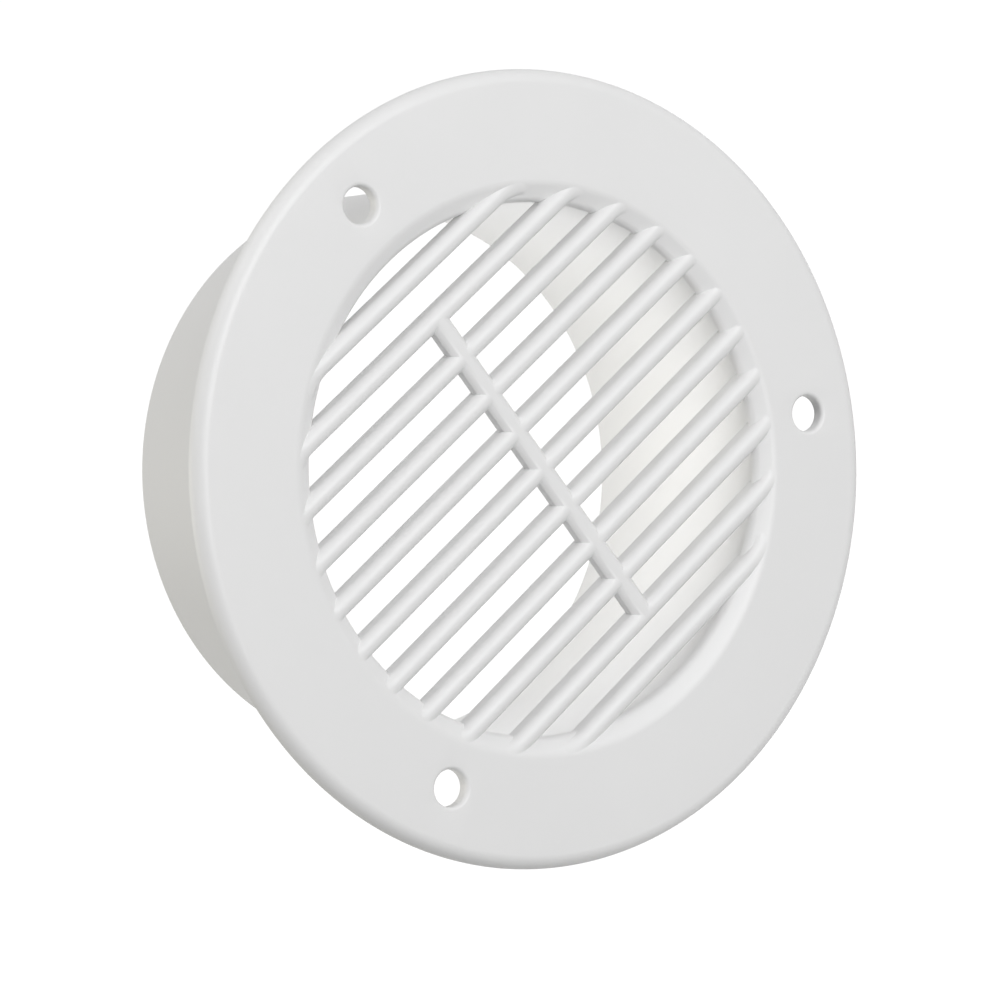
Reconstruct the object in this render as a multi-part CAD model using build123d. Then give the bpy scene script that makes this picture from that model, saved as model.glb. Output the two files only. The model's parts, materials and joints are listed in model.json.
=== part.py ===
from build123d import *
from math import sqrt
import os

# Tube air vent, moulded in one piece: a round screw flange with a slatted mouth, and a hose spigot behind it.
# Frame: the origin is on the tube's axis, in the plane of the flange's back face, which seats on the panel.
# -Y points out of the face into the room, +Y runs down the tube, and +Z is up, with the slats level.

# Sizes in millimetres.
# Flange
flange_diameter = 103.8
flange_thickness = 1.8
rim_roll_radius = 2.4       # rounds the rim from its front to its back edge

# Spigot
tube_diameter = 76.2        # takes a 3 inch hose
tube_wall = 2.2
tube_length = 37.7          # from the flange's back face
tube_end_radius = 0.5       # both edges of the open end
root_fillet = 0.6           # where the tube meets the flange's back

# Mouth, the opening in the face
mouth_lip = 1.25            # how far the lip reaches in past the tube's bore
mouth_lip_depth = 2.15      # from the face to the lip's back
mouth_roll_radius = 2.7     # rounds the lip from the face to its back edge

# Grille
slat_width = 2.6
slat_gap = 3.65             # clear air between two slats
slat_setback = 0.15         # slat crest behind the face
slat_depth = 3.1            # from the face to the slat's back
rib_width = 3.0
rib_front = 0.85            # depth of the rib's rounded front
rib_setback = 0.1           # rib crest behind the face
rib_depth = 2.3             # from the face to the rib's back

# Screw holes
screw_place = 0.3804        # share of the way out from the tube to the rim
screw_hole_diameter = 4.8
screw_hole_edge = 0.6       # rounding at the hole's front edge
screw_count = 3             # the first one is at the top

# Sizes that follow from those
face_y = -flange_thickness
lip_back_y = face_y + mouth_lip_depth
flange_radius = flange_diameter / 2
tube_radius = tube_diameter / 2
bore_radius = tube_radius - tube_wall
mouth_radius = bore_radius - mouth_lip
screw_radius = tube_radius + screw_place * (flange_radius - tube_radius)
slat_pitch = slat_width + slat_gap
slat_reach = tube_radius - tube_wall / 2
slats_each_side = int((mouth_radius - slat_width / 2) // slat_pitch)
slat_heights = [n * slat_pitch for n in range(-slats_each_side, slats_each_side + 1)]


def roll_reach(radius, depth):
    """How far an edge roll that leaves the face level has gone across by the time it is this deep."""
    return sqrt(radius**2 - (radius - depth) ** 2)


def turned_body():
    """Flange with its rolled rim and mouth, and the tube: one half section, turned round the tube's axis."""
    rim_front = (flange_radius - roll_reach(rim_roll_radius, flange_thickness), face_y)
    rim_back = (flange_radius, 0)
    mouth_front = (mouth_radius + roll_reach(mouth_roll_radius, mouth_lip_depth), face_y)
    mouth_back = (mouth_radius, lip_back_y)
    with BuildSketch(Plane.XY) as half_section:
        with BuildLine():
            RadiusArc(rim_front, rim_back, -rim_roll_radius)
            Polyline(
                rim_back,
                (tube_radius, 0),
                (tube_radius, tube_length),
                (bore_radius, tube_length),
                (bore_radius, lip_back_y),
                mouth_back,
            )
            RadiusArc(mouth_back, mouth_front, -mouth_roll_radius)
            Line(mouth_front, rim_front)
        make_face()
        tube_root = half_section.vertices().sort_by_distance((tube_radius, 0))[0]
        fillet(tube_root, root_fillet)
        open_end = half_section.vertices().group_by(Axis.Y)[-1]
        fillet(open_end, tube_end_radius)
    return revolve(half_section.sketch, Axis.Y)


def bar_section(width, front_depth, setback, depth):
    """Section of a grille bar, front to back along X: an arc in front, on a flat-backed stem."""
    half = width / 2
    crest = face_y + setback
    arc_end = crest + front_depth
    back = face_y + depth
    with BuildSketch() as section:
        with BuildLine():
            ThreePointArc((arc_end, -half), (crest, 0), (arc_end, half))
            Polyline((arc_end, half), (back, half), (back, -half), (arc_end, -half))
        make_face()
    return section.sketch


def slat(height):
    """A bar with a half-round front, across the mouth at this height."""
    section = Pos(0, height) * bar_section(slat_width, slat_width / 2, slat_setback, slat_depth)
    return extrude(Plane.YZ * section, slat_reach, both=True)


def cross_rib():
    """A low, wide bar down the middle that ties the slats, from the second one to the last but one."""
    across = Plane((0, 0, 0), x_dir=(0, 1, 0), z_dir=(0, 0, 1))
    section = bar_section(rib_width, rib_front, rib_setback, rib_depth)
    return extrude(across * section, slat_heights[-2], both=True)


def grille():
    """All slats and the rib, trimmed round so that their ends stand in the tube's wall."""
    bars = [slat(height) for height in slat_heights] + [cross_rib()]
    trim = Rot(90, 0, 0) * Cylinder(slat_reach, 2 * tube_length)
    return (bars[0] + bars[1:]) & trim


def screw_holes(body):
    """Cuts the ring of screw holes through the flange and rounds their front edges."""
    hole_plane = Plane((0, face_y, 0), x_dir=(1, 0, 0), z_dir=(0, -1, 0))
    ring = PolarLocations(screw_radius, screw_count, start_angle=90)
    drill = Sketch() + [place * Circle(screw_hole_diameter / 2) for place in ring]
    body -= extrude(hole_plane * drill, -flange_thickness)
    circles_on_face = body.edges().filter_by(GeomType.CIRCLE).group_by(Axis.Y)[0]
    hole_edges = circles_on_face.sort_by(SortBy.RADIUS)[:screw_count]
    return fillet(hole_edges, screw_hole_edge)


vent_body = screw_holes(turned_body() + grille())

os.makedirs("parts", exist_ok=True)
export_step(vent_body, "parts/vent_body.step")
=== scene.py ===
import json
import math

import bmesh
import bpy
import numpy as np
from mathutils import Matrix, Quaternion, Vector


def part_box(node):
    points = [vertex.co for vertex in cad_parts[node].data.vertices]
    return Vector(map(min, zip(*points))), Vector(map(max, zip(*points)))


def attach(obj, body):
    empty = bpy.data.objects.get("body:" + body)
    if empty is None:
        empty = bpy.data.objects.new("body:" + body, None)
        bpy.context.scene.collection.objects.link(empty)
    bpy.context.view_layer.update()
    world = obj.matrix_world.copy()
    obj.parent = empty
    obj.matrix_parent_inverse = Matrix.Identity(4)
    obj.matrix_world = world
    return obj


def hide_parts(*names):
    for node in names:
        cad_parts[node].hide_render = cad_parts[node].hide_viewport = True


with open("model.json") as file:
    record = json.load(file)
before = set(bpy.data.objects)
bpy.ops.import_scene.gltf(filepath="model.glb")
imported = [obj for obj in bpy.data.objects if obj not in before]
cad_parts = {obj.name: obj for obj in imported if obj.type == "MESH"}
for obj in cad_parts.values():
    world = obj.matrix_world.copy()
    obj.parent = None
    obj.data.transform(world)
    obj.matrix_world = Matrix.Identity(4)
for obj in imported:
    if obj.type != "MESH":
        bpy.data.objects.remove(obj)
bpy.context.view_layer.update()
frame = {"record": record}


# Vent body
# A round screw flange with a rolled mouth, level slats tied by one cross rib, and a hose spigot behind.
# It is white ABS, injection moulded in one shot, so the bars grow out of the wall and out of each other.
# Three plain holes take the screws that fix the flange to a panel.

MM = 0.001
lowest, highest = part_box("vent_body")
mounts = {mount["name"]: mount["dims"] for mount in frame["record"]["mounts"]}

# Sizes in millimetres: the outer ones come from the frame, the others are the moulding's own
flange_radius = highest.x / MM
face_y = lowest.y / MM
tube_end_y = highest.y / MM
tube_radius = mounts["hose_spigot"]["r_mm"]
hole_radius = mounts["screw_holes"]["hole_r_mm"]
hole_circle = mounts["screw_holes"]["pcd_mm"] / 2
hole_count = mounts["screw_holes"]["count"]

rim_roll = 2.0                  # radius that rounds the rim, from its front to its back edge
tube_wall = 2.2
tube_end_round = 0.5            # radius on both edges of the open end
root_fillet = 0.6               # radius where the tube meets the flange's back
mouth_lip = 1.25                # how far the lip reaches in past the bore
mouth_lip_depth = 2.15          # from the face to the lip's back
mouth_front = 37.65             # from the axis to where the mouth leaves the face
mouth_roll = 2.2                # radius of the roll there
mouth_slope = 30.0              # degrees from the face, of the short straight run between the two rolls
lip_roll = 1.5                  # radius of the roll at the lip
hole_edge = 0.6                 # radius on the front edge of a screw hole
slat_width = 2.6
slat_pitch = 6.25
slats_each_side = 5             # above the middle one, and below it
slat_setback = 0.15             # from the face to a slat's crest
slat_depth = 3.1                # from the face to its back
tip_setback = 0.02              # from the face to the crest at a slat's ends, where it rises
tip_flare = 1.0                 # share by which it widens there
flare_start = 35.6              # from the axis to where that begins
tip_overlap = 0.1               # how far the ends run on under the face
rib_width = 3.0
rib_front = 0.85                # depth of the rib's rounded front
rib_setback = 0.1               # from the face to its crest
rib_depth = 2.3                 # from the face to its back
bar_back_edge = 0.2             # radius on the back edges of the slats and the rib
bore_margin = 0.6               # a ring this far behind the slats keeps the bore's shading clear of them

bore_radius = tube_radius - tube_wall
mouth_radius = bore_radius - mouth_lip
slat_reach = mouth_front + tip_overlap


def arc(centre, radius, start, end, steps):
    """Points on a circle: its centre plus the radius times cosine and sine of an angle, in degrees."""
    turn = np.radians(np.linspace(start, end, steps))
    return np.column_stack((centre[0] + radius * np.cos(turn), centre[1] + radius * np.sin(turn)))


def turn_to(depth, radius):
    """Degrees that a roll of this radius has turned, from level, by the time it is this deep."""
    return math.degrees(math.acos(1 - depth / radius))


def turned(section, steps, centre=(0.0, 0.0)):
    """Rows of (radius, Y) go round an axis along Y.

    X and Z are the centre plus the radius times cosine and sine of the turn."""
    turn = np.linspace(0, 2 * np.pi, steps, endpoint=False)[:, None]
    radius, along = section.T
    x = centre[0] + radius * np.cos(turn)
    z = centre[1] + radius * np.sin(turn)
    return np.stack((x, np.broadcast_to(along, x.shape), z), axis=-1)


def skin(name, grid, ring=False):
    """A mesh with one corner for each grid point and a quad between neighbours; each row closes on itself.

    In a ring the last row joins the first, and otherwise the first and last rows each get a flat end."""
    rows, columns = grid.shape[:2]
    number = np.arange(rows * columns).reshape(rows, columns)
    here, beyond = (number, np.roll(number, -1, 0)) if ring else (number[:-1], number[1:])
    quads = np.stack((here, beyond, np.roll(beyond, -1, 1), np.roll(here, -1, 1)), axis=-1)
    faces = quads.reshape(-1, 4).tolist()
    if not ring:
        faces += [number[0].tolist(), number[-1].tolist()]
    mesh = bpy.data.meshes.new(name)
    mesh.from_pydata((grid.reshape(-1, 3) * MM).tolist(), [], faces)
    shell = bmesh.new()
    shell.from_mesh(mesh)
    bmesh.ops.recalc_face_normals(shell, faces=shell.faces)
    shell.to_mesh(mesh)
    shell.free()
    piece = bpy.data.objects.new(name, mesh)
    bpy.context.scene.collection.objects.link(piece)
    return piece


def body_section():
    """Half section of flange and tube as (radius, Y), once round.

    It runs up the lip's roll, the straight slope and the mouth's roll, over the face, round the rim's roll,
    along the back to the tube, down its outside, round its end and back up the bore."""
    mouth_steps, rim_steps, root_steps, end_steps = 17, 25, 7, 9
    slope = math.radians(mouth_slope)
    mouth_centre = (mouth_front, face_y + mouth_roll)
    lip_run = mouth_front - mouth_radius - lip_roll
    lip_drop = lip_run * math.tan(slope) - (mouth_roll - lip_roll) / math.cos(slope)
    lip_centre = (mouth_radius + lip_roll, mouth_centre[1] + lip_drop)
    lip_back = face_y + mouth_lip_depth
    lip_turn = math.degrees(math.asin((lip_centre[1] - lip_back) / lip_roll))
    rim_turn = turn_to(-face_y, rim_roll)
    rim_centre = (flange_radius - rim_roll * math.sin(math.radians(rim_turn)), face_y + rim_roll)
    root_centre = (tube_radius + root_fillet, root_fillet)
    outer_end = (tube_radius - tube_end_round, tube_end_y - tube_end_round)
    inner_end = (bore_radius + tube_end_round, tube_end_y - tube_end_round)
    return np.concatenate((
        arc(lip_centre, lip_roll, 180 + lip_turn, 270 - mouth_slope, mouth_steps),
        arc(mouth_centre, mouth_roll, 270 - mouth_slope, 270, mouth_steps),
        [(hole_circle, face_y)],
        arc(rim_centre, rim_roll, 270, 270 + rim_turn, rim_steps),
        arc(root_centre, root_fillet, 270, 180, root_steps),
        arc(outer_end, tube_end_round, 0, 90, end_steps),
        arc(inner_end, tube_end_round, 90, 180, end_steps),
        [(bore_radius, face_y + slat_depth + bore_margin), (bore_radius, lip_back)],
    ))


def bar_section(width, front, setback, depth):
    """Section of a grille bar, as (across, Y): an arc in front, on a stem with its two back edges broken.

    The arc's radius is the square of half the width plus the square of the front's depth, over twice that
    depth."""
    front_steps, edge_steps = 49, 5
    half = width / 2
    radius = (half**2 + front**2) / (2 * front)
    turn = turn_to(front, radius)
    back_y = face_y + depth - bar_back_edge
    return np.concatenate((
        arc((0, face_y + setback + radius), radius, 270 - turn, 270 + turn, front_steps),
        arc((half - bar_back_edge, back_y), bar_back_edge, 0, 90, edge_steps),
        arc((bar_back_edge - half, back_y), bar_back_edge, 90, 180, edge_steps),
    ))


def slat(height):
    """The bar's section carried along X, with ends on a circle inside the tube's wall.

    X is the end's distance times the sine of an even turn from -90 to 90 degrees, so rows crowd at the ends.
    Past the flare's start the slat widens and rises with the square of its distance from there, and so grows
    into the mouth's slope as a moulded bar does."""
    rows = 65
    across, along_y = bar_section(slat_width, slat_width / 2, slat_setback, slat_depth).T
    end = np.sqrt(slat_reach**2 - (height + across * (1 + tip_flare)) ** 2)
    x = np.sin(np.radians(np.linspace(-90, 90, rows)))[:, None] * end
    flare = np.clip((np.hypot(x, height) - flare_start) / (mouth_front - flare_start), 0, 1) ** 2
    y = along_y - (slat_setback - tip_setback) * flare
    z = height + across * (1 + tip_flare * flare)
    return skin(f"slat_{height:+.0f}", np.stack((x, y, z), axis=-1))


def cross_rib():
    """The bar's section carried along Z, from the second slat to the last but one."""
    across, along_y = bar_section(rib_width, rib_front, rib_setback, rib_depth).T
    z = np.array([[-1.0], [1.0]]) * (slats_each_side - 1) * slat_pitch
    return skin("cross_rib", np.stack(np.broadcast_arrays(across, along_y, z), axis=-1))


def hole_cutter(turn):
    """A plug for one screw hole, with a front that flares in a quarter circle to round the hole's edge."""
    edge_steps, round_steps = 7, 64
    beyond = 1.0
    section = np.concatenate((
        [(hole_radius + hole_edge, face_y - beyond)],
        arc((hole_radius + hole_edge, face_y + hole_edge), hole_edge, 270, 180, edge_steps),
        [(hole_radius, beyond)],
    ))
    centre = (hole_circle * math.cos(turn), hole_circle * math.sin(turn))
    grid = turned(section, round_steps, centre)
    return skin("hole_cutter", np.swapaxes(grid, 0, 1))


def cut_and_join(body, joined, cut):
    """The body with the joined pieces made one with it and the cut ones taken out of it, as a plain mesh."""
    for operation, pieces in (("UNION", joined), ("DIFFERENCE", cut)):
        for piece in pieces:
            step = body.modifiers.new(piece.name, "BOOLEAN")
            step.operation = operation
            step.object = piece
            step.solver = "MANIFOLD"
    solid = body.evaluated_get(bpy.context.evaluated_depsgraph_get())
    mesh = bpy.data.meshes.new_from_object(solid)
    body.modifiers.clear()
    body.data = mesh
    for piece in joined + cut:
        bpy.data.objects.remove(piece)


lathe_steps = 384
sharp_edge = math.radians(35)
moulding = skin("moulding", turned(body_section(), lathe_steps), ring=True)
slat_heights = slat_pitch * np.arange(-slats_each_side, slats_each_side + 1)
bars = [slat(height) for height in slat_heights] + [cross_rib()]

# The first screw hole is at the top
hole_turns = math.pi / 2 + 2 * math.pi * np.arange(hole_count) / hole_count
cut_and_join(moulding, bars, [hole_cutter(turn) for turn in hole_turns])
moulding.data.shade_smooth()
moulding.data.set_sharp_from_angle(angle=sharp_edge)


def linear(hex_colour):
    """An sRGB hex colour as linear red, green, blue and alpha."""
    parts = [int(hex_colour[i:i + 2], 16) / 255 for i in (1, 3, 5)]
    return tuple(c / 12.92 if c <= 0.04045 else ((c + 0.055) / 1.055) ** 2.4 for c in parts) + (1.0,)


def add(tree, kind, inputs=None, **settings):
    """A new node in the tree with these settings; an input is a plain value or the socket that feeds it."""
    node = tree.nodes.new(kind)
    for name, value in settings.items():
        setattr(node, name, value)
    for name, value in (inputs or {}).items():
        if isinstance(value, bpy.types.NodeSocket):
            tree.links.new(value, node.inputs[name])
        else:
            node.inputs[name].default_value = value
    return node


def white_abs():
    """White ABS from a finely blasted mould: a soft satin sheen, near even in tone, with a faint grain.

    Tone and sheen drift a little from patch to patch, as the melt cooled. The grain is the mould's own,
    drawn somewhat coarser than it is so that it shows."""
    tone_patch, sheen_patch, grain = 25 * MM, 6 * MM, 0.4 * MM
    grain_height = 0.004 * MM
    darker, paler = linear("#EBEBEB"), linear("#EFEFEF")
    smoother, rougher = 0.36, 0.48
    material = bpy.data.materials.new("white_moulded_abs")
    material.use_nodes = True
    tree = material.node_tree
    place = add(tree, "ShaderNodeTexCoord").outputs["Object"]
    tone = add(tree, "ShaderNodeTexNoise", {"Vector": place, "Scale": 1 / tone_patch, "Detail": 2.0})
    colour = add(tree, "ShaderNodeMix", {"Factor": tone.outputs["Fac"], "A": darker, "B": paler},
                 data_type="RGBA")
    sheen = add(tree, "ShaderNodeTexNoise", {"Vector": place, "Scale": 1 / sheen_patch, "Detail": 3.0})
    roughness = add(tree, "ShaderNodeMapRange",
                    {"Value": sheen.outputs["Fac"], "To Min": smoother, "To Max": rougher})
    blasting = add(tree, "ShaderNodeTexNoise", {"Vector": place, "Scale": 1 / grain, "Detail": 2.0})
    relief = add(tree, "ShaderNodeBump", {"Height": blasting.outputs["Fac"], "Distance": grain_height})
    shader = tree.nodes["Principled BSDF"]
    shader.inputs["IOR"].default_value = 1.54
    tree.links.new(colour.outputs["Result"], shader.inputs["Base Color"])
    tree.links.new(roughness.outputs["Result"], shader.inputs["Roughness"])
    tree.links.new(relief.outputs["Normal"], shader.inputs["Normal"])
    return material


moulding.data.materials.clear()
moulding.data.materials.append(white_abs())
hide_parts("vent_body")
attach(moulding, "root")


# Floor
# A plain pale sheet well below the vent, which hangs free as it would on a wall.
# It shows white to the camera and still takes the vent's shadow.

floor_height = -0.25            # metres, from the vent's axis
floor_half = 6.0                # metres, half its width
floor_lift = 0.9                # glow towards the camera, which brings the grey sheet up to white
floor_mesh = bpy.data.meshes.new("floor")
corners = floor_half * np.array([(-1, -1), (1, -1), (1, 1), (-1, 1)])
floor_mesh.from_pydata(np.column_stack((corners, np.full(4, floor_height))).tolist(), [], [(0, 1, 2, 3)])
floor = bpy.data.objects.new("floor", floor_mesh)
bpy.context.scene.collection.objects.link(floor)


def seen_directly(tree):
    """One for rays from the camera and for those that gloss or glass passes on, nought for all others."""
    ray = add(tree, "ShaderNodeLightPath").outputs
    first_two = add(tree, "ShaderNodeMath", {0: ray["Is Camera Ray"], 1: ray["Is Glossy Ray"]},
                    operation="MAXIMUM")
    all_three = add(tree, "ShaderNodeMath", {0: first_two.outputs[0], 1: ray["Is Transmission Ray"]},
                    operation="MAXIMUM")
    return all_three.outputs[0]


# Matt pale paper: even and without gloss
paper = bpy.data.materials.new("white_paper_sweep")
paper.use_nodes = True
paper_shader = paper.node_tree.nodes["Principled BSDF"]
paper_shader.inputs["Base Color"].default_value = linear("#A8A8A8")
paper_shader.inputs["Roughness"].default_value = 0.9
paper_shader.inputs["Specular IOR Level"].default_value = 0.0
paper_shader.inputs["Emission Color"].default_value = (1, 1, 1, 1)
lift = add(paper.node_tree, "ShaderNodeMath", {0: seen_directly(paper.node_tree), 1: floor_lift},
           operation="MULTIPLY")
paper.node_tree.links.new(lift.outputs[0], paper_shader.inputs["Emission Strength"])
floor.data.materials.append(paper)


# Light
# Two soft boxes in front, the nearer one higher and a little to the right, and one overhead light the face.
# A slightly warm one behind on the left lights the tube, and the room itself is dim.
# A small lamp just behind the slats faces down the tube and lights only the bore.

room_strength = 0.3
warm = linear("#FFFCF0")[:3]
world = bpy.data.worlds.new("white_room")
bpy.context.scene.world = world
world.use_nodes = True
sky = world.node_tree
backdrop = sky.nodes["Background"]
backdrop.inputs["Color"].default_value = (1, 1, 1, 1)
strength = add(sky, "ShaderNodeMapRange",
               {"Value": seen_directly(sky), "To Min": room_strength, "To Max": 1.0})
sky.links.new(strength.outputs[0], backdrop.inputs["Strength"])


def direction(azimuth, elevation):
    """A unit vector out from the vent, for an azimuth (0 in front, 90 on +X) and an elevation in degrees."""
    a, e = math.radians(azimuth), math.radians(elevation)
    return Vector((math.sin(a) * math.cos(e), -math.cos(a) * math.cos(e), math.sin(e)))


def soft_box(name, place, target, size, power, colour=(1, 1, 1)):
    """A round area lamp at this place, of this width in metres and power in watts, that faces the target."""
    lamp = bpy.data.lights.new(name, "AREA")
    lamp.shape = "DISK"
    lamp.size = size
    lamp.energy = power
    lamp.color = colour
    box = bpy.data.objects.new(name, lamp)
    box.location = place
    box.rotation_mode = "QUATERNION"
    box.rotation_quaternion = (place - target).to_track_quat("Z", "Y")
    box.visible_camera = False
    bpy.context.scene.collection.objects.link(box)


middle = Vector((0, 0, 0))
far, near = 1.0, 0.6            # metres from the vent
soft_box("front", direction(0, 7) * far, middle, size=0.6, power=2.9)
soft_box("front_right", direction(18, 22) * near, middle, size=0.36, power=1.13)
soft_box("overhead", direction(0, 75) * far, middle, size=0.6, power=1.6)
soft_box("left_back", direction(-125, 25) * far, middle, size=0.6, power=2.9, colour=warm)

behind_slats = Vector((0, 2, 0)) * MM
down_the_tube = Vector((0, 100, 0)) * MM
soft_box("bore", behind_slats, down_the_tube, size=0.05, power=0.012)


# Camera
# Stands in front, to the left of and above the vent, and leans to one side, so that the slats run uphill.

aim = Vector((-8.083, face_y, 1.578)) * MM
distance = 544.69 * MM
roll = math.radians(35.333)
back = direction(azimuth=-26.819, elevation=20.581)
camera_data = bpy.data.cameras.new("camera")
camera_data.sensor_width = 36.0
camera_data.lens = 152.541
camera_data.clip_start = 0.01
camera = bpy.data.objects.new("camera", camera_data)
camera.location = aim + back * distance
camera.rotation_mode = "QUATERNION"
camera.rotation_quaternion = (-back).to_track_quat("-Z", "Y") @ Quaternion((0, 0, 1), -roll)
bpy.context.scene.collection.objects.link(camera)
bpy.context.scene.camera = camera

bpy.context.scene.view_settings.view_transform = "Standard"
